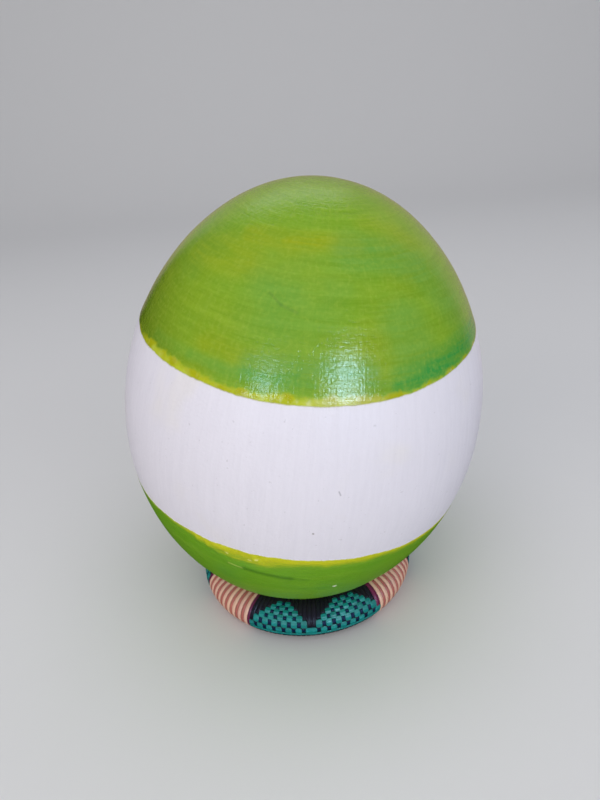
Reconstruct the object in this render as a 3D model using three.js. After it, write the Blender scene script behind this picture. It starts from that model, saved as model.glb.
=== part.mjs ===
// A painted ostrich egg that stands, leaning a little, in a woven bangle.
// Millimetres, +Z up. The origin is on the surface that the bangle stands on, under the middle of
// the whole, and the egg leans towards +X and a little towards -Y.

import * as THREE from "three";
import { LoftGeometry } from "three/addons/geometries/LoftGeometry.js";

// Egg
const eggRadius = 65; // at its widest
const eggHalfLength = 80.5;
const eggTopTaper = 0.019; // how much slimmer the upper end is than the lower
const eggEndTaper = 0.025; // how much slimmer both ends are than an ellipse
const eggCentre = [0.23, -0.11, 82.75]; // the lower end hangs just clear of the surface
const eggLean = [0.08, 0.163, 0]; // radians about X, then Y
const eggRows = 28;
const eggSegments = 44;

// Bangle, measured over its winding
const bangleCentre = [-3.62, 1.76];
const bangleInnerRadius = 32;
const bangleOuterRadius = 44.5;
const bangleHeight = 14.4;
const crownRadius = 36.5; // where the section is tallest
const corners = 10; // straight sides of the section, with one flat on the surface
const innerRoundness = 2 / 3; // under 1, the inner face is flatter than a circle's

// Layers, as depths below the outer surface
const windingThickness = 0.9;
const lengthwiseDepths = [1.45, 1.95];
const hoopDepth = 2.3;

// Winding: where each panel starts and ends, in degrees from the front, -Y, towards +X. Between one
// panel and the next lies a striped section.
const panelSpans = [
  [-31.45, 34.7],
  [74.5, 161.7],
  [201.5, 288.7],
];
const redWraps = 10; // a striped section starts and ends with a red one
const creamWraps = 9;
const wrapShare = 0.8; // of the room that a wrap has, which leaves a gap between neighbours
const windingStart = 7; // the section corner, underneath, where a strip is tucked in
const squareSides = 6; // sides that a wrap crosses before it steps along
const sleeveSteps = 8;

// Strips laid along the hoop
const lengthwiseRises = [-22, -1.5, 22, 39, 54, 67, 80, 93]; // degrees up from the widest place
const lengthwiseWidth = 1;
const hoopSegments = 20;

function material(colour, roughness) {
  return new THREE.MeshStandardMaterial({ color: colour, roughness, metalness: 0 });
}

const enamel = material(0x7ba43a, 0.3);
const cane = material(0xa08560, 0.8);
const tealStrip = material(0x2b8c7c, 0.5);
const creamStrip = material(0xe0bfa2, 0.55);
const redStrip = material(0xb56a62, 0.55);
const darkStrip = material(0x231f35, 0.5);

// Part of a circle that the corners nearest an axis miss, so a section still has its full size.
const cornerReach = Math.cos(Math.PI / corners);

// A corner of the section, `depth` below the winding's outer surface, as (radius, height).
function sectionCorner(index, depth) {
  const turn = (index * 2 * Math.PI) / corners;
  const outwards = Math.cos(turn) > 0;
  const power = outwards ? 1 : innerRoundness;
  const bulge = outwards ? bangleOuterRadius - crownRadius : crownRadius - bangleInnerRadius;
  const along = (value) => Math.sign(value) * Math.min(1, Math.abs(value) / cornerReach) ** power;
  return new THREE.Vector2(
    crownRadius + (bulge - depth) * along(Math.cos(turn)),
    bangleHeight / 2 + (bangleHeight / 2 - depth) * along(Math.sin(turn)),
  );
}

// A point of the bangle at an angle round it, in degrees from the front.
function around(point, degrees) {
  const angle = THREE.MathUtils.degToRad(degrees);
  return new THREE.Vector3(point.x * Math.sin(angle), -point.x * Math.cos(angle), point.y);
}

// The egg's outline from its lower tip to its upper one, turned about its own axis.
function eggShape() {
  const outline = [];
  for (let row = 0; row <= eggRows; row += 1) {
    const angle = Math.PI * (1 - row / eggRows);
    const up = Math.cos(angle);
    const fullness = 1 - eggTopTaper * up - eggEndTaper * up * up;
    const radius = row % eggRows ? eggRadius * Math.sin(angle) * fullness : 0;
    outline.push(new THREE.Vector2(radius, eggHalfLength * up));
  }
  return new THREE.LatheGeometry(outline, eggSegments).rotateX(Math.PI / 2);
}

// One strip wound round the section from `start` degrees, for a number of turns. It lies square to
// the hoop over the outer face and steps along inside, by two wraps a turn, because two strips are
// wound side by side.
function windingShape(start, turns, pitch) {
  const sections = [];
  for (let step = 0; step <= (turns - 1) * corners + squareSides; step += 1) {
    const outer = sectionCorner(windingStart + step, 0);
    const inner = sectionCorner(windingStart + step, windingThickness);
    const inside = Math.max(0, (step % corners) - squareSides) / (corners - squareSides);
    const near = start + (Math.floor(step / corners) + inside) * 2 * pitch;
    const far = near + wrapShare * pitch;
    sections.push([
      around(outer, near),
      around(outer, far),
      around(inner, far),
      around(inner, near),
    ]);
  }
  return new LoftGeometry(sections, { capStart: true, capEnd: true });
}

// The close winding of a panel, whose wraps touch, as a sleeve between two angles.
function sleeveShape(start, end) {
  const sections = [];
  for (let index = 0; index <= corners; index += 1) {
    const ring = [];
    for (let step = 0; step <= sleeveSteps; step += 1) {
      ring.push(around(sectionCorner(index, 0), start + ((end - start) * step) / sleeveSteps));
    }
    for (let step = sleeveSteps; step >= 0; step -= 1) {
      const angle = start + ((end - start) * step) / sleeveSteps;
      ring.push(around(sectionCorner(index, windingThickness), angle));
    }
    sections.push(ring);
  }
  return new LoftGeometry(sections);
}

// A flat strip that runs all round the hoop, `rise` degrees up its outer face.
function lengthwiseShape(rise) {
  const angle = THREE.MathUtils.degToRad(rise);
  const [outerDepth, innerDepth] = lengthwiseDepths;
  const bulge = bangleOuterRadius - crownRadius;
  const face = (depth, side) =>
    new THREE.Vector2(
      crownRadius + (bulge - depth) * Math.cos(angle) - side * Math.sin(angle),
      bangleHeight / 2 + (bangleHeight / 2 - depth) * Math.sin(angle) + side * Math.cos(angle),
    );
  const half = lengthwiseWidth / 2;
  const outline = [
    face(innerDepth, -half),
    face(outerDepth, -half),
    face(outerDepth, half),
    face(innerDepth, half),
    face(innerDepth, -half),
  ];
  return new THREE.LatheGeometry(outline, hoopSegments).rotateX(Math.PI / 2);
}

function hoopShape() {
  const outline = [];
  for (let index = 0; index <= corners; index += 1) outline.push(sectionCorner(index, hoopDepth));
  return new THREE.LatheGeometry(outline, hoopSegments).rotateX(Math.PI / 2);
}

function addPiece(group, name, geometry, finish) {
  const piece = new THREE.Mesh(geometry, finish);
  piece.name = name;
  group.add(piece);
  return piece;
}

function makeBangle() {
  const bangle = new THREE.Group();
  bangle.position.set(bangleCentre[0], bangleCentre[1], 0);
  addPiece(bangle, "hoop_core", hoopShape(), cane);
  lengthwiseRises.forEach((rise, row) => {
    addPiece(bangle, `lengthwise_strip_${row + 1}`, lengthwiseShape(rise), tealStrip);
  });
  panelSpans.forEach(([panelStart, panelEnd], index) => {
    const number = index + 1;
    const nextStart = number < panelSpans.length ? panelSpans[number][0] : panelSpans[0][0] + 360;
    const pitch = (nextStart - panelEnd) / (redWraps + creamWraps);
    const gap = ((1 - wrapShare) * pitch) / 2;
    const sleeve = sleeveShape(panelStart + gap, panelEnd - gap);
    addPiece(bangle, `dark_winding_${number}`, sleeve, darkStrip);
    const redStart = panelEnd + gap;
    addPiece(bangle, `red_strip_${number}`, windingShape(redStart, redWraps, pitch), redStrip);
    const creamStart = redStart + pitch;
    const creamShape = windingShape(creamStart, creamWraps, pitch);
    addPiece(bangle, `cream_strip_${number}`, creamShape, creamStrip);
  });
  return bangle;
}

const whole = new THREE.Group();
const egg = addPiece(whole, "egg", eggShape(), enamel);
egg.position.set(...eggCentre);
egg.rotation.set(...eggLean);
whole.add(makeBangle());

export default whole;
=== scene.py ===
import math
import random

import bmesh
import bpy
from mathutils import Matrix, Vector, geometry, noise


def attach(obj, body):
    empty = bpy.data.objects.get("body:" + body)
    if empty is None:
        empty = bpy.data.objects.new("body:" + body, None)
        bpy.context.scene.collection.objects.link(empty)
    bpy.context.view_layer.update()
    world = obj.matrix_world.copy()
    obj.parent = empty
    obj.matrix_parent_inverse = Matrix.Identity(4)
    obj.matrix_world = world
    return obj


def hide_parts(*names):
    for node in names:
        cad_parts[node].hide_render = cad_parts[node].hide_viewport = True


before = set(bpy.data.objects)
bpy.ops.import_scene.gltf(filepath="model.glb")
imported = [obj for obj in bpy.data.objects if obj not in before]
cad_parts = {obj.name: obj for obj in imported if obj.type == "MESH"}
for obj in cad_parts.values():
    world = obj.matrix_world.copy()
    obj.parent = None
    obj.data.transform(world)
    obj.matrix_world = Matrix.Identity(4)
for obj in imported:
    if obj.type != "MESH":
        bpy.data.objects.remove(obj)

scene = bpy.context.scene
mm = 0.001  # shapes are worked out in millimetres and stored in metres
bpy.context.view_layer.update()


# small helpers

def smoothStep(low, high, value):
    share = min(1.0, max(0.0, (value - low) / (high - low)))
    return share * share * (3 - 2 * share)


def hexColour(text):  # a paint-chart colour as the linear values that shaders use
    parts = [int(text[start:start + 2], 16) / 255 for start in (0, 2, 4)]
    linear = [part / 12.92 if part <= 0.04045 else ((part + 0.055) / 1.055) ** 2.4 for part in parts]
    return (*linear, 1.0)


def pieceFromMesh(bm, name, material):
    mesh = bpy.data.meshes.new(name)
    bm.to_mesh(mesh)
    bm.free()
    mesh.shade_smooth()
    mesh.materials.append(material)
    piece = bpy.data.objects.new(name, mesh)
    scene.collection.objects.link(piece)
    return piece


def addPiece(bm, name, material, node):  # a finished piece that stands in for a plain one
    piece = pieceFromMesh(bm, name, material)
    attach(piece, "root")
    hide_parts(node)


# camera

camera = {
    "position": (-0.86, -203.27, 186.58),  # mm
    "downwards": 27.08,  # degrees
    "roll": -4.93,
    "lens": 27.0,
    "sensor": 36,
    "clip": (0.01, 20),  # m
}


def addCamera():
    data = bpy.data.cameras.new("viewCamera")
    data.lens = camera["lens"]
    data.sensor_width = camera["sensor"]
    data.clip_start, data.clip_end = camera["clip"]
    viewCamera = bpy.data.objects.new("viewCamera", data)
    scene.collection.objects.link(viewCamera)
    tilt = Matrix.Rotation(math.radians(90 - camera["downwards"]), 4, "X")
    roll = Matrix.Rotation(math.radians(camera["roll"]), 4, "Z")
    viewCamera.matrix_world = Matrix.Translation(Vector(camera["position"]) * mm) @ tilt @ roll
    scene.camera = viewCamera


addCamera()
print("camera ready")


# shader helpers

def addNode(tree, kind, inputs=None, **settings):
    node = tree.nodes.new(kind)
    for name, value in settings.items():
        setattr(node, name, value)
    for name, value in (inputs or {}).items():
        socket = node.inputs[name]
        if isinstance(value, bpy.types.NodeSocket):
            tree.links.new(value, socket)
        else:
            socket.default_value = value
    return node


def calculate(tree, operation, first, second=0.0, clamp=False):
    node = addNode(tree, "ShaderNodeMath", {0: first, 1: second}, operation=operation, use_clamp=clamp)
    return node.outputs[0]


def plus(tree, first, second, clamp=False):
    return calculate(tree, "ADD", first, second, clamp)


def minus(tree, first, second):
    return calculate(tree, "SUBTRACT", first, second)


def times(tree, first, second, clamp=False):
    return calculate(tree, "MULTIPLY", first, second, clamp)


def apart(tree, value, middle):  # how far a value is from another, either way
    return calculate(tree, "ABSOLUTE", minus(tree, value, middle))


def vectorMaths(tree, operation, first, second):
    node = addNode(tree, "ShaderNodeVectorMath", {0: first, 1: second}, operation=operation)
    return node.outputs["Value" if operation in ("DOT_PRODUCT", "DISTANCE") else "Vector"]


def vectorFrom(tree, x=0.0, y=0.0, z=0.0):
    return addNode(tree, "ShaderNodeCombineXYZ", {0: x, 1: y, 2: z}).outputs[0]


def sidewaysPart(tree, vector):
    return addNode(tree, "ShaderNodeSeparateXYZ", {0: vector}).outputs[0]


def remap(tree, value, low, high, newLow=0.0, newHigh=1.0, curve="SMOOTHSTEP"):
    inputs = {"Value": value, "From Min": low, "From Max": high, "To Min": newLow, "To Max": newHigh}
    return addNode(tree, "ShaderNodeMapRange", inputs, interpolation_type=curve).outputs["Result"]


def smallest(tree, value, spans):  # the least of what a value gives over several spans
    least = remap(tree, value, *spans[0])
    for span in spans[1:]:
        least = calculate(tree, "MINIMUM", least, remap(tree, value, *span))
    return least


def mixValues(tree, share, first, second):
    return addNode(tree, "ShaderNodeMix", {0: share, 2: first, 3: second}).outputs[0]


def mixColours(tree, share, first, second):
    inputs = {0: share, 6: first, 7: second}
    return addNode(tree, "ShaderNodeMix", inputs, data_type="RGBA").outputs[2]


def layPaint(tree, under, paint, value, span):  # paint over a colour, as much as a value gives over a span
    return mixColours(tree, remap(tree, value, *span), under, paint)


def attribute(tree, name, output="Fac"):
    return addNode(tree, "ShaderNodeAttribute", attribute_name=name).outputs[output]


def objectPlace(tree):
    return addNode(tree, "ShaderNodeTexCoord").outputs["Object"]


def noiseAt(tree, vector, scale, detail, roughness, distortion=0.0):
    inputs = {"Vector": vector, "Scale": scale, "Detail": detail, "Roughness": roughness}
    inputs["Distortion"] = distortion
    return addNode(tree, "ShaderNodeTexNoise", inputs).outputs["Fac"]


def newGroup(name, inputs, outputs):
    group = bpy.data.node_groups.new(name, "ShaderNodeTree")
    for socketName, default in inputs.items():
        kind = "NodeSocketVector" if default is None else "NodeSocketFloat"
        socket = group.interface.new_socket(socketName, in_out="INPUT", socket_type=kind)
        if default is not None:
            socket.default_value = default
    for socketName in outputs:
        group.interface.new_socket(socketName, in_out="OUTPUT", socket_type="NodeSocketFloat")
    return group, group.nodes.new("NodeGroupInput").outputs, group.nodes.new("NodeGroupOutput").inputs


def useGroup(tree, group, inputs):
    return addNode(tree, "ShaderNodeGroup", inputs, node_tree=group).outputs


def newMaterial(name, **constants):
    material = bpy.data.materials.new(name)
    material.use_nodes = True
    tree = material.node_tree
    shader = tree.nodes["Principled BSDF"]
    for socketName, value in constants.items():
        shader.inputs[socketName].default_value = value
    return material, tree, shader


def finishShader(tree, shader, colour, roughness, height=None, depth=0.0):
    tree.links.new(colour, shader.inputs["Base Color"])
    tree.links.new(roughness, shader.inputs["Roughness"])
    if height is not None:
        bump = addNode(tree, "ShaderNodeBump", {"Height": height, "Distance": depth, "Strength": 1.0})
        tree.links.new(bump.outputs["Normal"], shader.inputs["Normal"])


# shared effects; noise is a scale, detail, roughness and distortion, and a span is where a value starts
# and stops counting, then what comes out at each end

brush = {
    "broad": (2.0, 0.5),  # detail and roughness
    "line": (4.0, 0.62),
    "broadScale": 0.35,  # of the line scale
    "broadShare": 0.4,
    "lineShare": 0.6,
    "contrast": (0.32, 0.68),
}

strip = {
    "stretch": (3.0, 0.22, 40.0),  # of the streaks: across a strip, along it, and from turn to turn
    "streaks": (1.6, 4.0, 0.6, 0.2),
    "specks": (900.0, 3.0, 0.6),
    "shadeShare": 0.55,
    "streakShare": 0.45,
    "contrast": (0.15, 0.85),
    "dirtyEdge": (0.62, 1.0),  # from the middle of the strip to its edge
    "dirtySpecks": (0.3, 0.6),
    "crown": (0.0, 0.6, 1.0, 0.0),
    "rubbedSpecks": (0.5, 0.7),
    "roughness": (0.3, 0.7, 0.28, 0.5),
    "ribHeight": 0.5,
    "streakHeight": 0.7,
}


def makeBrushGroup():  # hair-fine lines left by a brush, drawn out along one direction
    inputs = {"Vector": None, "Line Scale": 1.0, "Wander": 0.5}
    group, source, target = newGroup("brushMarks", inputs, ("Streak", "Height"))
    place, lineScale, wander = source["Vector"], source["Line Scale"], source["Wander"]
    broad = noiseAt(group, place, times(group, lineScale, brush["broadScale"]), *brush["broad"], wander)
    lines = noiseAt(group, place, lineScale, *brush["line"], wander)
    both = plus(group, times(group, broad, brush["broadShare"]), times(group, lines, brush["lineShare"]))
    group.links.new(remap(group, both, *brush["contrast"]), target["Streak"])
    group.links.new(both, target["Height"])
    return group


def makeMarkGroup():  # scratches, drips, dots, painted shadows and painted highlights: how near a point is to a short line
    inputs = {"Place": None, "Start": None, "End": None, "Width": 1.0, "Softness": 0.5}
    group, source, target = newGroup("paintMark", inputs, ("Mask",))
    offset = vectorMaths(group, "SUBTRACT", source["Place"], source["Start"])
    line = vectorMaths(group, "SUBTRACT", source["End"], source["Start"])
    shortest = 0.001  # keeps a dot, which has no length, from dividing by zero
    lengthSquared = calculate(group, "MAXIMUM", vectorMaths(group, "DOT_PRODUCT", line, line), shortest)
    along = vectorMaths(group, "DOT_PRODUCT", offset, line)
    share = calculate(group, "DIVIDE", along, lengthSquared, True)
    nearest = addNode(group, "ShaderNodeVectorMath", {0: line, "Scale": share}, operation="SCALE")
    reach = vectorMaths(group, "DISTANCE", offset, nearest.outputs["Vector"])
    outer = plus(group, source["Width"], source["Softness"])
    group.links.new(remap(group, reach, source["Width"], outer, 1.0, 0.0), target["Mask"])
    return group


def makeStripGroup():  # a wound strip: fine ribs along it, streaks, rubbed crown and grimy edges
    inputs = {"Across": 0.0, "Along": 0.0, "Shade": 0.5, "Ribs": 3.0, "Edge Dirt": 0.5}
    group, source, target = newGroup("woundStrip", inputs, ("Tone", "Dirt", "Rub", "Roughness", "Height"))
    across, shade = source["Across"], source["Shade"]
    fromMiddle = calculate(group, "ABSOLUTE", across)
    stretched = zip((across, source["Along"], shade), strip["stretch"])
    drawn = vectorFrom(group, *(times(group, value, scale) for value, scale in stretched))
    streaks = noiseAt(group, drawn, *strip["streaks"])
    specks = noiseAt(group, objectPlace(group), *strip["specks"])
    ribs = calculate(group, "COSINE", times(group, across, times(group, source["Ribs"], math.pi)))
    ownShade = times(group, shade, strip["shadeShare"])
    tone = plus(group, ownShade, times(group, streaks, strip["streakShare"]))
    edge = times(group, remap(group, fromMiddle, *strip["dirtyEdge"]), source["Edge Dirt"])
    dirt = times(group, edge, remap(group, specks, *strip["dirtySpecks"]))
    crown = remap(group, fromMiddle, *strip["crown"])
    rub = times(group, crown, remap(group, specks, *strip["rubbedSpecks"]))
    ribHeight = times(group, ribs, strip["ribHeight"])
    height = plus(group, ribHeight, times(group, streaks, strip["streakHeight"]))
    group.links.new(remap(group, tone, *strip["contrast"], curve="LINEAR"), target["Tone"])
    group.links.new(dirt, target["Dirt"])
    group.links.new(rub, target["Rub"])
    group.links.new(remap(group, streaks, *strip["roughness"]), target["Roughness"])
    group.links.new(height, target["Height"])
    return group


brushMarks = makeBrushGroup()
paintMark = makeMarkGroup()
woundStrip = makeStripGroup()
print("shared shader effects ready")


# egg

egg = {
    "radius": 65.0,  # mm, at its widest
    "halfLength": 80.5,
    "topTaper": 0.019,
    "endTaper": 0.025,
    "centre": (0.23, -0.11, 82.75),
    "lean": (0.08, 0.163),  # radians about X, then Y
    "cuts": 127,
    "arcSteps": 720,
    "upperEdge": (35.98, (3.63, 109), (0.89, 158), (0.62, -139)),  # mean height, then waves round the egg
    "lowerEdge": (-20.15, (0.69, 59), (0.30, -10), (0.35, -43)),
    "ragged": ((7, 0.35), (2.1, 0.12)),  # size and height of the unevenness along both edges, mm
    "swelling": ((31, 0.16), (11, 0.064)),  # and of the shell's own
    "paintEdge": (-0.3, 0.6),  # mm past an edge, where the green paint comes up to its full depth
    "paintDepth": 0.05,
    "rimPlace": 1.1,  # mm past an edge, where the paint stands highest
    "rimWidth": 1.1,
    "rimHeight": 0.06,
    "rimLumps": 4,
    "greenBrush": (17, 1.7),  # mm, along a brush line and across it
    "whiteBrush": (26, 30),  # fineness round the egg, and mm along a brush line
    "brushHeight": 0.022,
    "ridgeHeight": 0.25,
    "ridgeSides": (0.15, 2.4),
    "wrinkleHeight": 0.5,
    "wrinkleSides": (1.5, 5),
    "wrinkleSize": 2.2,
    "strokesAbove": 30,  # mm, the level under which there are no long brush strokes
    "strokeCore": 0.25,  # share of a stroke's width that has its full strength
    "beadCore": 0.2,
}

brushStrokes = {  # points on the egg in its own frame, then width and strength
    "darkStroke": (
        (((30, -47, 39.4), (38.5, -39, 41), (44.8, -31.3, 42.4), (51, -18, 43.5)), 5.5, 0.85),
        (((20, -53, 37.4), (25.2, -50.4, 38.0), (32.5, -45.6, 38.8)), 3.4, 0.85),
        (((12, -55.4, 38), (20.3, -52.9, 38.8), (27, -49.4, 39.6)), 3.4, 0.3),
        (((20, -53, 41), (36, -41, 44), (46, -27, 46)), 4.0, 0.4),
        (((-49, -29, 37.5), (-38, -42, 38.3), (-26.4, -50.7, 38.4)), 3.6, 0.15),
        (((-38, -42, 38.3), (-26.4, -50.7, 38.4), (-14.8, -54.6, 38.6), (-4, -56.5, 38.6)), 3.4, 0.3),
        (((-13.6, -53.9, 40), (-10.7, -54.4, 40.3), (-7.2, -54.7, 40.7)), 0.9, 0.5),
    ),
    "yellowStroke": (
        (((-12.5, -29.7, 69.1), (-5, -31, 69.8), (0.9, -30.5, 70.3)), 3.0, 0.8),
        (((-22, -24, 68), (-12.5, -29.7, 69.1), (-5, -31, 69.8), (6, -31, 69.8)), 6.0, 0.5),
        (((-36, -20, 61), (-31, -24, 63), (-24, -30, 64)), 11.0, 0.4),
        (((-47, -20, 50), (-40, -35, 50), (-30, -44, 50)), 15.0, 0.15),
        (((-34, -43, 44), (-24, -49, 43), (-14, -53, 42)), 5.0, 0.35),
        (((12, -24, 73), (22, -22, 70)), 8.0, 0.25),
    ),
    "blueStrokeAndReflection": (
        (((6, -32, 68), (15.4, -30.6, 67.5), (26, -28, 64)), 10.0, 0.5),
        (((30, -27, 61), (38, -28, 54)), 12.0, 0.35),
        (((21.5, -43.3, 52.2), (25, -46, 45)), 12.0, 0.35),
        (((-14, -44, 54), (0, -50, 49)), 12.0, 0.15),
        # partly blue-green paint, partly a painted reflection of the sky around the window highlights
        # along the edge
        (((-20, -51, 41), (-11, -53.5, 41.5), (3, -53.4, 42), (11, -53.4, 42)), 6.0, 0.55),
    ),
}

eggMarks = {
    "beads": (  # place, radius and height of thick drops of paint
        ((-34.3, -52.4, -22.4), 1.6, 0.4),
        ((-25.4, -57.5, -21.2), 1.9, 0.3),
        ((-15.9, -60.7, -21.9), 1.5, 0.25),
        ((11.1, -56.7, -37.4), 0.9, 0.4),
    ),
    "brushRidges": (
        ((-7, -49.3, 50.1), (-8.5, -52.7, 44.2)),
        ((-8.5, -52.7, 44.2), (-11, -54.2, 40.6)),
        ((-2.9, -50.9, 48.2), (-6.0, -53.3, 44.0)),
        ((-6.0, -53.3, 44.0), (-7.5, -54.6, 41.0)),
    ),
    "wrinkled": ((-30, -54.5, -22), (-21.9, -58.4, -23.7), (-13, -61, -23)),
    "ridge": ((-23.9, -56.2, -27.8), (-18.5, -58, -28.2), (-11.4, -59.8, -28.4), (-4.3, -60.2, -29.8)),
    "touches": (  # scratches, specks and drops, a painted shadow under the ridge and painted highlights: start, end, width, softness, colour and strength
        ((-16.3, -40.8, 57.9), (-13.2, -43.7, 55.8), 0.1, 0.5, "4b6d33", 0.24),
        ((-13.2, -43.7, 55.8), (-8.9, -45.7, 54.7), 0.12, 0.6, "56763f", 0.2),
        ((6.3, -64.1, 9.1), (6.9, -64.2, 7.9), 0.05, 0.32, "6f6a74", 0.42),
        ((0.4, -64.9, -6.5), (0.5, -64.9, -6.6), 0.12, 0.35, "7c7470", 0.7),
        ((11.1, -56.7, -37.4), (11.4, -56.6, -37.4), 0.45, 0.3, "e8f0d8", 0.9),
        # painted shadow along the underside of the paint ridge
        ((-18.5, -58, -28.9), (-4.3, -60.2, -30.4), 0.3, 2.0, "2f6a12", 0.45),
        ((-4.3, -60.2, -30.4), (1.3, -60.1, -31.3), 0.15, 1.4, "2f6a12", 0.2),
        # painted glints on the beads and wrinkled paint, and a painted highlight along the top of the
        # ridge
        ((-24.9, -57.4, -22.7), (-24.6, -57.5, -22.9), 0.15, 0.4, "e6e88a", 0.7),
        ((-23.9, -56.2, -28.3), (-19.8, -57.4, -29.0), 0.12, 0.5, "cfdc70", 0.6),
        ((-17.9, -59.8, -23.3), (-17.2, -60.0, -23.3), 0.12, 0.4, "e6e88a", 0.6),
        ((-15.6, -60.8, -21.8), (-15.2, -60.9, -21.9), 0.15, 0.4, "e6e88a", 0.7),
    ),
}


def eggProfile(angle):  # radius and height at an angle from the top end
    up = math.cos(angle)
    fullness = 1 - egg["topTaper"] * up - egg["endTaper"] * up * up
    return Vector((egg["radius"] * math.sin(angle) * fullness, egg["halfLength"] * up))


def makeArcTable():  # lengths down the profile from the top end, in even steps of angle
    table = [0.0]
    for step in range(egg["arcSteps"]):
        near, far = (eggProfile(math.pi * (step + side) / egg["arcSteps"]) for side in (0, 1))
        table.append(table[-1] + (far - near).length)
    return table


arcTable = makeArcTable()


def arcFromTop(angle):
    place = min(egg["arcSteps"] - 1e-6, max(0.0, angle / math.pi * egg["arcSteps"]))
    index = int(place)
    return arcTable[index] + (arcTable[index + 1] - arcTable[index]) * (place - index)


def edgeAngle(edge, azimuth):  # of one of the green's edges, from the top end
    height = edge[0]
    for count, (size, turn) in enumerate(edge[1:], 1):
        height += size * math.cos(count * azimuth - math.radians(turn))
    return math.acos(height / egg["halfLength"])


def asVectors(points):
    return [Vector(point) for point in points]


def lineDistance(place, points):
    best = math.inf
    for start, end in zip(points, points[1:]):
        near, share = geometry.intersect_point_line(place, start, end)
        near = start if share < 0 else end if share > 1 else near
        best = min(best, (place - near).length)
    return best


def strokeStrength(place, strokes):
    strength = 0.0
    for points, width, most in strokes:
        fade = smoothStep(egg["strokeCore"] * width, width, lineDistance(place, points))
        strength = max(strength, most * (1 - fade))
    return strength


def unevenness(place, waves):
    return sum(height * noise.noise(place / size) for size, height in waves)


beads = [(Vector(centre), radius, height) for centre, radius, height in eggMarks["beads"]]
ridge = asVectors(eggMarks["ridge"])
wrinkled = asVectors(eggMarks["wrinkled"])
strokeLines = {
    name: [(asVectors(points), width, most) for points, width, most in strokes]
    for name, strokes in brushStrokes.items()
}


def eggRelief(point, direction, arc, painted):  # mm out from the plain shell
    green = smoothStep(*egg["paintEdge"], painted)
    rim = math.exp(-((painted - egg["rimPlace"]) / egg["rimWidth"]) ** 2)
    length, width = egg["greenBrush"]
    roundEgg = noise.noise(Vector((point.x / length, point.y / length, arc / width)))
    fineness, length = egg["whiteBrush"]
    downEgg = noise.noise(Vector((direction.x * fineness, direction.y * fineness, arc / length)))
    relief = unevenness(point, egg["swelling"]) + egg["paintDepth"] * green
    relief += egg["rimHeight"] * rim * (1 + noise.noise(point / egg["rimLumps"]))
    relief += egg["brushHeight"] * (green * roundEgg + (1 - green) * downEgg)
    for centre, radius, height in beads:
        fade = smoothStep(egg["beadCore"] * radius, radius, (point - centre).length)
        relief += height * (1 - fade)
    relief += egg["ridgeHeight"] * (1 - smoothStep(*egg["ridgeSides"], lineDistance(point, ridge)))
    patch = 1 - smoothStep(*egg["wrinkleSides"], lineDistance(point, wrinkled))
    return relief + egg["wrinkleHeight"] * patch * noise.noise(point / egg["wrinkleSize"])


def makeEgg(material):
    bm = bmesh.new()
    bmesh.ops.create_cube(bm, size=2)
    bmesh.ops.subdivide_edges(bm, edges=bm.edges, cuts=egg["cuts"], use_grid_fill=True)
    place = Matrix.Translation(egg["centre"])
    place = place @ Matrix.Rotation(egg["lean"][0], 4, "X") @ Matrix.Rotation(egg["lean"][1], 4, "Y")
    layers = {name: bm.verts.layers.float.new(name) for name in ("above", "below", "arc", *strokeLines)}
    placeLayer = bm.verts.layers.float_vector.new("eggPlace")
    aroundLayer = bm.verts.layers.float_vector.new("around")
    squares = Vector((egg["radius"] ** 2, egg["radius"] ** 2, egg["halfLength"] ** 2))
    for vertex in bm.verts:
        direction = Vector([math.tan(value * math.pi / 4) for value in vertex.co]).normalized()
        angle = math.acos(max(-1.0, min(1.0, direction.z)))
        azimuth = math.atan2(direction.x, -direction.y)
        around = Vector((math.sin(azimuth), -math.cos(azimuth), 0.0))
        radius, height = eggProfile(angle)
        point = around * radius + Vector((0, 0, height))
        outwards = Vector([part / square for part, square in zip(point, squares)]).normalized()
        arc = arcFromTop(angle)
        ragged = unevenness(point, egg["ragged"])
        above = arcFromTop(edgeAngle(egg["upperEdge"], azimuth)) - arc + ragged
        below = arc - arcFromTop(edgeAngle(egg["lowerEdge"], azimuth)) + ragged
        relief = eggRelief(point, direction, arc, max(above, below))
        vertex[layers["above"]] = above
        vertex[layers["below"]] = below
        vertex[layers["arc"]] = arc
        for name, strokes in strokeLines.items():
            vertex[layers[name]] = strokeStrength(point, strokes) if point.z > egg["strokesAbove"] else 0.0
        vertex[placeLayer] = point
        vertex[aroundLayer] = around
        vertex.co = (place @ (point + outwards * relief)) * mm
    bmesh.ops.recalc_face_normals(bm, faces=bm.faces)
    addPiece(bm, "paintedEgg", material, "egg")


eggPaint = {
    "green": "6d9520",
    "greenLight": "8ab034",
    "fleck": "a9bb4a",
    "yellow": "95a014",
    # painted shade: a darker olive for the left side of the upper green
    "paintedShadeOlive": "55690f",
    "blueGreen": "57984a",
    "dark": "37923f",
    "lowerGreen": "65a014",
    "lowerLight": "88b22a",
    "line": "b4c030",
    "lineDeep": "a4a814",
    # pale paint on the line, also used as a painted highlight
    "linePaleAndHighlight": "dfe2b8",
    "lowerLine": "c6c814",
    "white": "e0dde6",
    "cream": "e2dccb",
    "hair": "c9c6cf",
    "speck": "a9a6ac",
}

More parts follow.
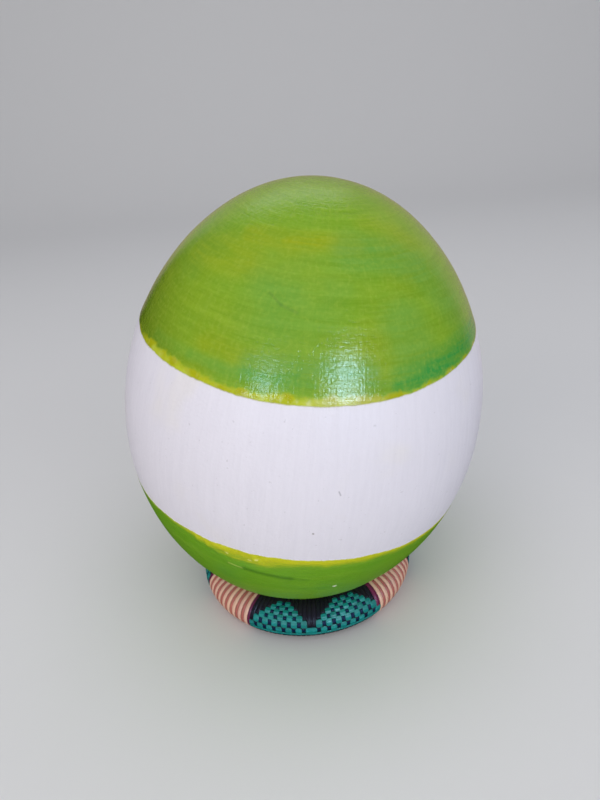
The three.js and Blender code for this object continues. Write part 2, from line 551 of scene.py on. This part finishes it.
eggFinish = {
    "roundStretch": ((0.05, 0.05, 0.0), 0.62),  # of brush lines round the egg: sideways, and down it
    "downStretch": ((62.0, 62.0, 0.0), 0.09),  # and of those down the egg
    "patchShift": (31.0, 7.0, 52.0),
    "greenStreaks": 0.7,
    "yellowPatches": (0.45, 0.8, 0.0, 0.4),
    "bluePatches": (0.45, 0.8, 0.0, 0.4),
    # painted shade: the upper green turns olive towards the far left
    "leftPaintedShade": (-58.0, -36.0, 0.6, 0.0),  # mm sideways from the axis
    "strokePaints": (  # the paint of each kind of stroke, and how much of it
        ("yellowStroke", "yellow", 1.0),
        # the blue-green strokes include a painted reflection along the upper edge
        ("blueStrokeAndReflection", "blueGreen", 0.9),
        ("darkStroke", "dark", 1.0),
    ),
    "strokeBreaks": (0.1, 0.8, 0.55, 1.15),
    "flecks": (0.4, 0.8, 0.0, 0.2),
    "fleckHairs": (0.4, 1.0, 0.0, 0.07),
    "lowerStreaks": 0.5,
    "lowerPatches": (0.5, 0.75, 0.0, 0.3),
    "creamPatches": (0.55, 0.8, 0.0, 0.35),
    "whiteHairs": 0.18,
    "whiteSpecks": (0.72, 0.8, 0.0, 0.3),
    "upperEdge": (0.45, (-0.35, 0.25)),  # how ragged it is, and how soft, mm
    "lowerEdge": (0.7, (-0.25, 0.2)),
    "greenRoughness": (0.0, 1.0, 0.12, 0.2),
    "whiteRoughness": (0.0, 1.0, 0.42, 0.56),
    "lowerRoughness": 0.25,  # more than the upper green's
    "ridgeWidth": (0.1, 0.8),  # mm, and how soft its sides are
    "ridgeBreaks": (0.4, 0.7, 0.0, 0.5),
    "hairHeight": 0.8,
    "strokeHeight": 0.6,
    "poreHeight": 0.7,
    "depth": 0.00013,  # m
}

eggNoise = {
    "ragged": (0.7, 3.0, 0.55),
    "mottle": (0.035, 3.0, 0.55, 0.4),
    "patches": (0.03, 3.0, 0.55, 0.3),
    "lineTone": (0.16, 3.0, 0.6, 0.5),
    "pale": (0.35, 3.0, 0.6),
    "flecks": (0.9, 2.0, 0.5),
    "specks": (0.8, 1.0, 0.5),
    "pores": (0.9, 1.0, 0.5),
}

eggBrushes = {  # line scale and wander
    "strokes": (1.0, 0.5),
    "lines": (2.4, 0.3),
    "hairs": (1.0, 0.3),
}

edgeLines = {  # widths in mm; "by side" spans run over how far to the right the egg faces, -1 to 1
    "raggedness": (0.0, 1.0, -0.55, 0.55),
    "deepPatches": (0.4, 0.65),
    "palePatches": (0.48, 0.75, 0.0, 0.5),
    # pale patches kept to the front and right, partly as painted highlight, then a painted highlight on
    # the front of the line
    "paleAndHighlightBySide": (-0.5, -0.1, 0.2, 1.0),
    "paintedHighlightMiddle": 0.1,
    "paintedHighlightSpan": (0.08, 0.25, 0.15, 0.0),
    "upperBySide": ((-0.97, -0.85, 0.3, 2.8), (0.0, 0.4, 2.7, 0.9)),
    "waistMiddle": -0.5,
    "waistAround": (0.0, 0.35, 1.8, 2.8),
    "upperRight": (0.5, 0.9, 1.0, 0.35),
    "upperUneven": (0.3, 0.7, -0.9, 0.8),
    "upperSoftness": (-1.1, 0.9, 1.0, 0.0),
    "lowerDeepShare": 0.6,
    "lowerBySide": ((-0.75, -0.4, -0.6, 1.9), (0.15, 0.6, 1.9, 0.7)),
    "lowerUneven": (0.3, 0.7, -0.4, 0.4),
    "lowerSoftness": (-1.0, 2.6, 0.95, 0.0),
    "smearBySide": ((-0.65, -0.35, 1.5, 7.5), (-0.25, 0.1, 7.5, 3.0)),
    "smearSoftness": (-3.0, 0.0, 1.0, 0.0),
    "smearStreaks": (0.35, 0.85, 0.12, 0.8),
}


def drawnOut(tree, vector, arc, stretch):  # where brush marks are read, long one way and fine the other
    sideways, down = stretch
    spread = vectorMaths(tree, "MULTIPLY", vector, sideways)
    return vectorMaths(tree, "ADD", spread, vectorFrom(tree, z=times(tree, arc, down)))


def brushed(tree, vector, name):
    scale, wander = eggBrushes[name]
    return useGroup(tree, brushMarks, {"Vector": vector, "Line Scale": scale, "Wander": wander})


def eggSurface(tree):  # places, brush marks and patches that the egg's paints share
    place = attribute(tree, "eggPlace", "Vector")
    around = attribute(tree, "around", "Vector")
    arc = attribute(tree, "arc")
    roundEgg = drawnOut(tree, place, arc, eggFinish["roundStretch"])
    downEgg = drawnOut(tree, around, arc, eggFinish["downStretch"])
    strokes = brushed(tree, roundEgg, "strokes")
    lines = brushed(tree, roundEgg, "lines")
    ragged = noiseAt(tree, place, *eggNoise["ragged"])
    shifted = vectorMaths(tree, "ADD", place, eggFinish["patchShift"])
    return {
        "place": place,
        "side": sidewaysPart(tree, around),
        "above": attribute(tree, "above"),
        "below": attribute(tree, "below"),
        "strokes": strokes,
        "lines": lines,
        "hairs": brushed(tree, downEgg, "hairs"),
        "streak": times(tree, plus(tree, strokes["Streak"], lines["Streak"]), 0.5),
        "ragged": remap(tree, ragged, *edgeLines["raggedness"], "LINEAR"),
        "mottle": noiseAt(tree, place, *eggNoise["mottle"]),
        "patches": noiseAt(tree, shifted, *eggNoise["patches"]),
        "lineTone": noiseAt(tree, place, *eggNoise["lineTone"]),
        "pale": remap(tree, noiseAt(tree, place, *eggNoise["pale"]), *edgeLines["palePatches"]),
    }


def upperGreen(tree, surface, paint):
    streaks = times(tree, surface["streak"], eggFinish["greenStreaks"])
    green = mixColours(tree, streaks, paint["green"], paint["greenLight"])
    green = layPaint(tree, green, paint["yellow"], surface["mottle"], eggFinish["yellowPatches"])
    green = layPaint(tree, green, paint["blueGreen"], surface["patches"], eggFinish["bluePatches"])
    # painted shade: olive laid over the left side of the upper green
    sideways = sidewaysPart(tree, surface["place"])
    green = layPaint(tree, green, paint["paintedShadeOlive"], sideways, eggFinish["leftPaintedShade"])
    for mask, name, most in eggFinish["strokePaints"]:
        breaks = remap(tree, surface["streak"], *eggFinish["strokeBreaks"])
        share = times(tree, times(tree, attribute(tree, mask), breaks), most, True)
        green = mixColours(tree, share, green, paint[name])
    flecks = remap(tree, noiseAt(tree, surface["place"], *eggNoise["flecks"]), *eggFinish["flecks"])
    flecks = plus(tree, flecks, remap(tree, surface["hairs"]["Streak"], *eggFinish["fleckHairs"]))
    return mixColours(tree, flecks, green, paint["fleck"])


def upperLine(tree, surface, paint, green):  # the bright line along the upper green's edge
    side, tone = surface["side"], surface["lineTone"]
    line = layPaint(tree, paint["line"], paint["lineDeep"], tone, edgeLines["deepPatches"])
    # pale paint patches, strongest at the front and right where they are partly painted highlight, and a
    # painted highlight of the window light on the front of the line
    pale = times(tree, surface["pale"], remap(tree, side, *edgeLines["paleAndHighlightBySide"]))
    front = remap(tree, apart(tree, side, edgeLines["paintedHighlightMiddle"]), *edgeLines["paintedHighlightSpan"])
    line = mixColours(tree, plus(tree, pale, front, True), line, paint["linePaleAndHighlight"])
    waist = remap(tree, apart(tree, side, edgeLines["waistMiddle"]), *edgeLines["waistAround"])
    width = calculate(tree, "MINIMUM", smallest(tree, side, edgeLines["upperBySide"]), waist)
    width = times(tree, width, remap(tree, side, *edgeLines["upperRight"]))
    width = plus(tree, width, remap(tree, tone, *edgeLines["upperUneven"]))
    past = minus(tree, plus(tree, surface["above"], surface["ragged"]), width)
    return layPaint(tree, green, line, past, edgeLines["upperSoftness"])


def lowerGreen(tree, surface, paint):
    streaks = times(tree, surface["streak"], eggFinish["lowerStreaks"])
    green = mixColours(tree, streaks, paint["lowerGreen"], paint["lowerLight"])
    return layPaint(tree, green, paint["dark"], surface["patches"], eggFinish["lowerPatches"])


def lowerLine(tree, surface, paint, green):  # the other bright line, with the smear below it
    side = surface["side"]
    deep = times(tree, surface["pale"], edgeLines["lowerDeepShare"])
    line = mixColours(tree, deep, paint["lowerLine"], paint["lineDeep"])
    uneven = remap(tree, surface["lineTone"], *edgeLines["lowerUneven"])
    width = plus(tree, smallest(tree, side, edgeLines["lowerBySide"]), uneven)
    past = minus(tree, plus(tree, surface["below"], surface["ragged"]), width)
    green = layPaint(tree, green, line, past, edgeLines["lowerSoftness"])
    past = minus(tree, surface["below"], smallest(tree, side, edgeLines["smearBySide"]))
    smear = remap(tree, past, *edgeLines["smearSoftness"])
    smear = times(tree, smear, remap(tree, surface["streak"], *edgeLines["smearStreaks"]))
    return mixColours(tree, smear, green, line)


def whiteBand(tree, surface, paint):
    white = layPaint(tree, paint["white"], paint["cream"], surface["mottle"], eggFinish["creamPatches"])
    hairs = times(tree, surface["hairs"]["Streak"], eggFinish["whiteHairs"])
    white = mixColours(tree, hairs, white, paint["hair"])
    specks = noiseAt(tree, surface["place"], *eggNoise["specks"])
    return layPaint(tree, white, paint["speck"], specks, eggFinish["whiteSpecks"])


def paintedShare(tree, surface, distance, edge):  # 1 where a green lies, 0 on the white band
    raggedness, softness = edge
    ragged = times(tree, surface["ragged"], raggedness)
    return remap(tree, plus(tree, surface[distance], ragged), *softness)


def markMask(tree, surface, start, end, width, softness):
    inputs = {"Place": surface["place"], "Start": start, "End": end, "Width": width, "Softness": softness}
    return useGroup(tree, paintMark, inputs)["Mask"]


def eggRoughness(tree, surface, isGreen, isLower):
    green = remap(tree, surface["streak"], *eggFinish["greenRoughness"])
    white = remap(tree, surface["hairs"]["Streak"], *eggFinish["whiteRoughness"])
    more = times(tree, isLower, eggFinish["lowerRoughness"])
    return plus(tree, mixValues(tree, isGreen, white, green), more)


def eggHeight(tree, surface, isGreen):  # brush lines both ways in the green, one way in the white
    pores = noiseAt(tree, surface["place"], *eggNoise["pores"])
    hairs = surface["hairs"]["Height"]
    crossed = plus(tree, surface["lines"]["Height"], times(tree, hairs, eggFinish["hairHeight"]))
    crossed = plus(tree, crossed, times(tree, surface["strokes"]["Height"], eggFinish["strokeHeight"]))
    for start, end in eggMarks["brushRidges"]:
        mask = markMask(tree, surface, start, end, *eggFinish["ridgeWidth"])
        broken = times(tree, mask, remap(tree, pores, *eggFinish["ridgeBreaks"]))
        crossed = plus(tree, crossed, broken)
    height = mixValues(tree, isGreen, hairs, crossed)
    return plus(tree, height, times(tree, pores, eggFinish["poreHeight"]))


def makeEggMaterial():
    material, tree, shader = newMaterial("eggEnamel", **{"IOR": 1.5, "Specular IOR Level": 0.4})
    paint = {name: hexColour(value) for name, value in eggPaint.items()}
    surface = eggSurface(tree)
    upper = upperLine(tree, surface, paint, upperGreen(tree, surface, paint))
    lower = lowerLine(tree, surface, paint, lowerGreen(tree, surface, paint))
    isUpper = paintedShare(tree, surface, "above", eggFinish["upperEdge"])
    isLower = paintedShare(tree, surface, "below", eggFinish["lowerEdge"])
    colour = mixColours(tree, isUpper, whiteBand(tree, surface, paint), upper)
    colour = mixColours(tree, isLower, colour, lower)
    for start, end, width, softness, touch, most in eggMarks["touches"]:
        mask = markMask(tree, surface, start, end, width, softness)
        colour = mixColours(tree, times(tree, mask, most), colour, hexColour(touch))
    isGreen = calculate(tree, "MAXIMUM", isUpper, isLower)
    roughness = eggRoughness(tree, surface, isGreen, isLower)
    finishShader(tree, shader, colour, roughness, eggHeight(tree, surface, isGreen), eggFinish["depth"])
    return material


makeEgg(makeEggMaterial())
print("egg ready")


# bangle

bangle = {
    "centre": (-3.62, 1.76),
    "crown": 36.5,  # mm, where the section is tallest
    "outerBulge": 8.0,
    "innerBulge": 4.5,
    "innerPower": 2 / 3,
    "halfHeight": 7.2,
}

winding = {
    "wraps": 154,  # all the way round
    "figures": ((1, 13), (14, 28), (47, 63), (64, 82), (101, 117), (118, 136)),  # wraps of each figure
    "panels": ((1, 14, 13), (47, 18, 17), (101, 18, 17)),  # first dark wrap, and turns of its two strips
    "sections": (28, 82, 136),  # first magenta wrap
    "redTurns": 10,
    "creamTurns": 9,
    "marks": (  # wrap, and degrees from the front
        (0, -33.5), (1, -31.7), (2, -29.25), (27, 33.25), (28, 36.1), (29, 38.8), (45, 70.8), (46, 72.8),
        (47, 74.85), (81, 160.3), (82, 163.0), (83, 165.4), (99, 198.3), (100, 200.3), (101, 202.45),
        (135, 287.3), (136, 289.75), (137, 291.9), (153, 324.6), (154, 326.5),
    ),
    "perTurn": 2,  # two strips are wound side by side
    "tuck": -135,  # degrees, underneath on the inside
    "tuckReach": 25,
    "tuckDepth": 0.5,  # mm
    "fineSteps": 3.0,  # degrees, over the woven rows
    "coarseSteps": 11.0,
    "wovenRises": (-40, 92),
    "sides": 10,
    "lengthPerDegree": 0.105,  # mm
    "dipDepth": 0.55,  # mm, under a strip that passes over
    "dipSides": (0.5, 0.8),  # shares of a row
    "dotDepth": 0.1,
    "dotSides": (0.2, 0.5),
    "squeeze": 0.15,
}

stripStyles = {  # mm, and widths in degrees round the bangle
    "cream": {"depth": 0.48, "thickness": 0.85, "width": 2.35, "roundness": 0.75},
    "red": {"depth": 0.56, "thickness": 0.85, "width": 1.9, "roundness": 0.75, "endWidths": (2.9, 1.7)},
    "dark": {"depth": 0.48, "thickness": 0.7, "width": 2.54, "roundness": 0.55, "woven": True},
}

weave = {
    "rises": (-17, -1.5, 22, 39, 54, 67, 80, 93),  # degrees up the outer face
    "figureRows": (1, 6),  # the row below them stays over, and the one above them under
    "reach": 0.66,  # how far a strip that passes over spreads, as a share of a wrap and of a row
    "squareness": 3.8,
    "lowest": 0.36,  # the same share for the lowest strip
    "narrowest": 0.35,
    "thickness": 0.6,
    "underThickness": 0.3,
    "over": 0.36,  # mm below the outermost surface, where a strip passes over
    "under": 1.5,
    "slope": (0.56, 0.84),  # shares of a wrap, from over to under
    "stepsPerWrap": 12,
    "lengthPerWrap": 1.94,  # mm
    "sides": 8,
    "roundness": 0.7,
}


def sectionPoint(rise, depth):
    turn = math.radians(rise)
    across = math.cos(turn)
    if across > 0:
        reach = (bangle["outerBulge"] - depth) * across
    else:
        reach = -(bangle["innerBulge"] - depth) * abs(across) ** bangle["innerPower"]
    return bangle["crown"] + reach, bangle["halfHeight"] + (bangle["halfHeight"] - depth) * math.sin(turn)


def banglePoint(degrees, rise, depth):
    radius, height = sectionPoint(rise, depth)
    turn = math.radians(degrees)
    x = bangle["centre"][0] + radius * math.sin(turn)
    y = bangle["centre"][1] - radius * math.cos(turn)
    return Vector((x, y, height)) * mm


def wrapAngle(position):
    rounds, local = divmod(position, winding["wraps"])
    marks = winding["marks"]
    for (wrap, angle), (nextWrap, nextAngle) in zip(marks, marks[1:]):
        if local <= nextWrap:
            return rounds * 360 + angle + (local - wrap) / (nextWrap - wrap) * (nextAngle - angle)


def wovenPlace(row, wrap):  # "over" where a lengthwise strip shows, "dot" where a wrap shows
    local = wrap % winding["wraps"]
    firstRow, lastRow = weave["figureRows"]
    inset = row - firstRow
    for low, high in winding["figures"]:
        if row < firstRow and low <= local <= high:
            return "over"
        if firstRow <= row <= lastRow and low + inset <= local <= high - inset:
            return "over" if (local - low - inset) % 2 == 0 else "dot"
    return "plain"


def rowRoom(row):  # degrees from one woven row to the next
    rises = weave["rises"]
    low, high = max(row - 1, 0), min(row + 1, len(rises) - 1)
    return (rises[high] - rises[low]) / (high - low)


def flatSection(index, sides, roundness):
    turn = 2 * math.pi * index / sides
    side, top = math.cos(turn), math.sin(turn)
    return math.copysign(abs(side) ** roundness, side), math.copysign(abs(top) ** roundness, top)


def makeTube(steps, sides, place, closed, extras):  # place() gives each point of a long closed section
    bm = bmesh.new()
    bmesh.ops.create_grid(bm, x_segments=steps, y_segments=sides, size=0.5)
    layers = [bm.verts.layers.float.new(extra) for extra in extras]
    for vertex in bm.verts:
        step = round((vertex.co.x + 0.5) * steps)
        side = round((vertex.co.y + 0.5) * sides) % sides
        vertex.co, values = place(0 if closed and step == steps else step, side)
        for layer, value in zip(layers, values):
            vertex[layer] = value
    bmesh.ops.remove_doubles(bm, verts=bm.verts, dist=1e-7)
    if not closed:
        ends = [edge for edge in bm.edges if edge.is_boundary]
        bmesh.ops.holes_fill(bm, edges=ends, sides=0)
    bmesh.ops.recalc_face_normals(bm, faces=bm.faces)
    return bm


def turnRises(woven):  # the rises at which one turn of a strip has a section
    rises = [winding["tuck"]]
    low, high = winding["wovenRises"]
    while rises[-1] < winding["tuck"] + 360:
        fine = woven and low <= rises[-1] < high
        rises.append(rises[-1] + (winding["fineSteps"] if fine else winding["coarseSteps"]))
    return rises[:-1]


def wrapDips(rise, wrap):  # how far a wrap goes under the strips at a rise, and how much of a dot it is
    dip = dot = 0.0
    for row in range(weave["figureRows"][1] + 1):
        away = abs(rise - weave["rises"][row]) / rowRoom(row)
        kind = wovenPlace(row, wrap)
        if kind == "over":
            dip = max(dip, 1 - smoothStep(*winding["dipSides"], away))
        elif kind == "dot":
            dot = max(dot, 1 - smoothStep(*winding["dotSides"], away))
    return dip, dot


def makeWinding(firstWrap, turns, style):
    woven = style.get("woven", False)
    rises = turnRises(woven)
    shades = [random.random() for turn in range(turns)]
    steps = turns * len(rises)

    def place(step, side):
        turn, index = divmod(step, len(rises))
        if turn == turns:
            turn, index = turns - 1, len(rises)
        rise = rises[index] if index < len(rises) else winding["tuck"] + 360
        wrap = firstWrap + turn * winding["perTurn"]
        across, lift = flatSection(side, winding["sides"], style["roundness"])
        dip, dot = wrapDips(rise, wrap) if woven else (0.0, 0.0)
        fromEnd = min(step, steps - step) / len(rises) * 360
        isEnd = "endWidths" in style and turn in (0, turns - 1)
        width = style["endWidths"][min(turn, 1)] if isEnd else style["width"]
        width *= 1 - winding["squeeze"] * max(dip, dot)
        depth = style["depth"] + winding["dipDepth"] * dip + winding["dotDepth"] * dot
        depth += winding["tuckDepth"] * (1 - smoothStep(0, winding["tuckReach"], fromEnd))
        angle = wrapAngle(wrap + winding["perTurn"] * rise / 360) + across * width / 2
        point = banglePoint(angle, rise, depth - lift * style["thickness"] / 2)
        along = (turn * 360 + rise - winding["tuck"]) * winding["lengthPerDegree"]
        return point, (across * (1 if lift >= 0 else -1), along, shades[turn], 1.0 if isEnd else dot)

    return makeTube(steps, winding["sides"], place, False, ("across", "along", "shade", "dye"))


def joinMeshes(first, second):
    spare = bpy.data.meshes.new("spare")
    second.to_mesh(spare)
    second.free()
    first.from_mesh(spare)
    bpy.data.meshes.remove(spare)
    return first


def lengthwisePositions():  # in wraps, close together only where the strips are woven
    positions = []
    for wrap in range(winding["wraps"]):
        woven = any(low - 1 <= wrap <= high for low, high in winding["figures"])
        parts = weave["stepsPerWrap"] if woven or wrap == winding["wraps"] - 1 else 1
        positions += [wrap + part / parts for part in range(parts)]
    return positions


def makeLengthwise(row):
    positions = lengthwisePositions()
    rise = weave["rises"][row]
    shades = [random.random() for wrap in range(winding["wraps"] + 1)]

    def place(step, side):
        position = positions[step]
        across, lift = flatSection(side, weave["sides"], weave["roundness"])
        wrap = math.floor(position)
        past = position - wrap
        before = 0.0 if wovenPlace(row, wrap) == "over" else 1.0
        after = 0.0 if wovenPlace(row, wrap + 1) == "over" else 1.0
        away = past if before < after else 1 - past if before > after else before
        share = min(1.0, away / weave["reach"])
        plump = weave["reach"] * (1 - share ** weave["squareness"]) ** (1 / weave["squareness"])
        spread = rowRoom(row) * (weave["lowest"] if row == 0 else max(weave["narrowest"], plump))
        over = 1 - smoothStep(*weave["slope"], away)
        depth = weave["under"] + (weave["over"] - weave["under"]) * over
        thickness = weave["underThickness"] + (weave["thickness"] - weave["underThickness"]) * over
        angle = wrapAngle(position + winding["perTurn"] * rise / 360)
        point = banglePoint(angle, rise + across * spread, depth - lift * thickness / 2)
        along = position * weave["lengthPerWrap"]
        return point, (across * (1 if lift >= 0 else -1), along, shades[round(position)])

    return makeTube(len(positions), weave["sides"], place, True, ("across", "along", "shade"))


stripColours = {  # two shades that its turns lie between, and that of the rubbed crown
    "cream": ("e9bda2", "dbae9d", "e8bda9"),
    "red": ("c06f62", "b0605a", "cb8070"),
    "magenta": ("741d4a", "5f1844", "8c2f55"),
    "dark": ("181826", "201928", "131622"),
    "dot": ("06224a", "0c1e4a", "0c2e50"),
    "teal": ("0c8e8b", "087773", "34a6b0"),
}

stripFinish = {
    "dirt": "2a2020",
    "rubShare": 0.5,
    "depth": 0.00008,  # m
}

# nearly black, partly as painted shade in the gaps between the wraps
cane = {
    "dark": "1c1512",
    "light": "3a2a20",
    "stretch": (1.0, 1.0, 9.0),
    "grain": (180.0, 4.0, 0.6, 0.4),
    "contrast": (0.3, 0.7),
    "roughness": (0.6, 0.85),
    "depth": 0.0002,  # m
}


def makeStripMaterial(name, colourName, ribs, edgeDirt, dyedName=None, gloss=0.5):
    material, tree, shader = newMaterial(name, **{"IOR": 1.48, "Specular IOR Level": gloss})
    inputs = {socket: attribute(tree, socket.lower()) for socket in ("Across", "Along", "Shade")}
    surface = useGroup(tree, woundStrip, {**inputs, "Ribs": ribs, "Edge Dirt": edgeDirt})

    def blended(colours):
        first, second, crown = (hexColour(text) for text in colours)
        mixed = mixColours(tree, surface["Tone"], first, second)
        return mixColours(tree, times(tree, surface["Rub"], stripFinish["rubShare"]), mixed, crown)

    colour = blended(stripColours[colourName])
    if dyedName:
        colour = mixColours(tree, attribute(tree, "dye"), colour, blended(stripColours[dyedName]))
    colour = mixColours(tree, surface["Dirt"], colour, hexColour(stripFinish["dirt"]))
    finishShader(tree, shader, colour, surface["Roughness"], surface["Height"], stripFinish["depth"])
    return material


# the core's dark colour is partly painted shade, so the gaps between wraps look dark
def makeCoreMaterial():
    material, tree, shader = newMaterial("darkCaneAndGapShade", **{"IOR": 1.45})
    stretched = vectorMaths(tree, "MULTIPLY", objectPlace(tree), cane["stretch"])
    grain = noiseAt(tree, stretched, *cane["grain"])
    colour = layPaint(tree, hexColour(cane["dark"]), hexColour(cane["light"]), grain, cane["contrast"])
    roughness = remap(tree, grain, *cane["contrast"], *cane["roughness"])
    finishShader(tree, shader, colour, roughness, grain, cane["depth"])
    return material


random.seed(17)
creamMaterial = makeStripMaterial("creamStrip", "cream", ribs=2.0, edgeDirt=0.5)
redMaterial = makeStripMaterial("redStrip", "red", ribs=2.0, edgeDirt=0.5, dyedName="magenta")
darkMaterial = makeStripMaterial("darkStrip", "dark", ribs=4.0, edgeDirt=0.3, dyedName="dot", gloss=0.4)
tealMaterial = makeStripMaterial("tealStrip", "teal", ribs=2.0, edgeDirt=0.35, gloss=0.6)

for number, (first, turns, otherTurns) in enumerate(winding["panels"], 1):
    darkMesh = makeWinding(first, turns, stripStyles["dark"])
    darkMesh = joinMeshes(darkMesh, makeWinding(first + 1, otherTurns, stripStyles["dark"]))
    addPiece(darkMesh, f"darkWinding{number}", darkMaterial, f"dark_winding_{number}")
for number, first in enumerate(winding["sections"], 1):
    redMesh = makeWinding(first, winding["redTurns"], stripStyles["red"])
    addPiece(redMesh, f"redWinding{number}", redMaterial, f"red_strip_{number}")
    creamMesh = makeWinding(first + 1, winding["creamTurns"], stripStyles["cream"])
    addPiece(creamMesh, f"creamWinding{number}", creamMaterial, f"cream_strip_{number}")
print("windings ready")

for row in range(len(weave["rises"])):
    tealMesh = makeLengthwise(row)
    addPiece(tealMesh, f"tealStrip{row + 1}", tealMaterial, f"lengthwise_strip_{row + 1}")
print("lengthwise strips ready")

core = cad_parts["hoop_core"]
core.data.materials.clear()
core.data.materials.append(makeCoreMaterial())


# floor and light

studio = {
    "floor": ("d9d8d6", "c4c3c1"),
    "floorGrain": (60.0, 3.0, 0.5),
    "floorGrey": 0.04,  # most that the second colour counts
    "floorRoughness": (0.3, 0.7, 0.55, 0.65),
    "floorSize": (3, 2.6, 0.8),  # m: half its width, half its depth, and how far back its middle is
    "sweepStart": 0.9,  # m behind the egg
    "sweepRadius": 0.7,
    "world": ("e2e5ee", 0.56),
    "lights": (  # name, azimuth and elevation seen from the egg, distance, width, height, power, colour
        ("overhead", 10, 82, 1.1, 1.3, 1.1, 5.2, "f4f6ff"),
        ("frontLeft", -42, 16, 1.3, 1.0, 1.0, 6.9, "fff8f0"),
        ("frontRight", 42, 14, 1.3, 1.0, 1.0, 6.3, "f7faff"),
    ),
    "reflections": (  # seen only as highlights
        ("windowLeft", -27.0, 15.0, 0.9, 0.12, 0.2, 1.5, "b4d8ff"),
        ("windowRight", 22.2, 13.5, 0.9, 0.21, 0.3, 4.7, "b4d8ff"),
        ("wallBehind", 165, 15, 1.2, 2.3, 2.0, 6.1, "ffe2d2"),
        ("skyAbove", 180, 51, 1.2, 0.8, 0.45, 1.3, "f0f4ff"),
    ),
}


def floorMaterial():
    material, tree, shader = newMaterial("paleFloor", **{"Specular IOR Level": 0.0})
    grain = noiseAt(tree, objectPlace(tree), *studio["floorGrain"])
    pale, grey = (hexColour(text) for text in studio["floor"])
    colour = mixColours(tree, times(tree, grain, studio["floorGrey"]), pale, grey)
    finishShader(tree, shader, colour, remap(tree, grain, *studio["floorRoughness"]))
    return material


def addFloor():  # flat under the egg, and swept up behind it
    halfWidth, halfDepth, middle = studio["floorSize"]
    start, radius = studio["sweepStart"], studio["sweepRadius"]
    bm = bmesh.new()
    bmesh.ops.create_grid(bm, x_segments=8, y_segments=60, size=1)
    for vertex in bm.verts:
        across, along = vertex.co.x * halfWidth, vertex.co.y * halfDepth + middle
        past = max(0.0, along - start)
        turn = min(past / radius, math.pi / 2)
        rise = radius * (1 - math.cos(turn)) + max(0.0, past - radius * math.pi / 2)
        vertex.co = (across, min(along, start) + radius * math.sin(turn), rise)
    floor = pieceFromMesh(bm, "floor", floorMaterial())
    floor.visible_glossy = False


def addLight(name, azimuth, elevation, distance, width, height, power, colour):
    data = bpy.data.lights.new(name, "AREA")
    data.shape = "RECTANGLE"
    data.size = width
    data.size_y = height
    data.energy = power
    data.color = hexColour(colour)[:3]
    light = bpy.data.objects.new(name, data)
    scene.collection.objects.link(light)
    turn, up = math.radians(azimuth), math.radians(elevation)
    direction = Vector((math.sin(turn) * math.cos(up), -math.cos(turn) * math.cos(up), math.sin(up)))
    light.location = Vector(egg["centre"]) * mm + direction * distance
    light.rotation_euler = direction.to_track_quat("Z", "Y").to_euler()
    return light


def addWorld():
    colour, strength = studio["world"]
    world = bpy.data.worlds.new("studio")
    world.use_nodes = True
    background = world.node_tree.nodes["Background"]
    background.inputs["Color"].default_value = hexColour(colour)
    background.inputs["Strength"].default_value = strength
    world.cycles_visibility.glossy = False
    scene.world = world


addFloor()
for settings in studio["lights"]:
    addLight(*settings).visible_glossy = False
for settings in studio["reflections"]:
    addLight(*settings).visible_diffuse = False
addWorld()
scene.view_settings.view_transform = "Standard"
print("floor and light ready")
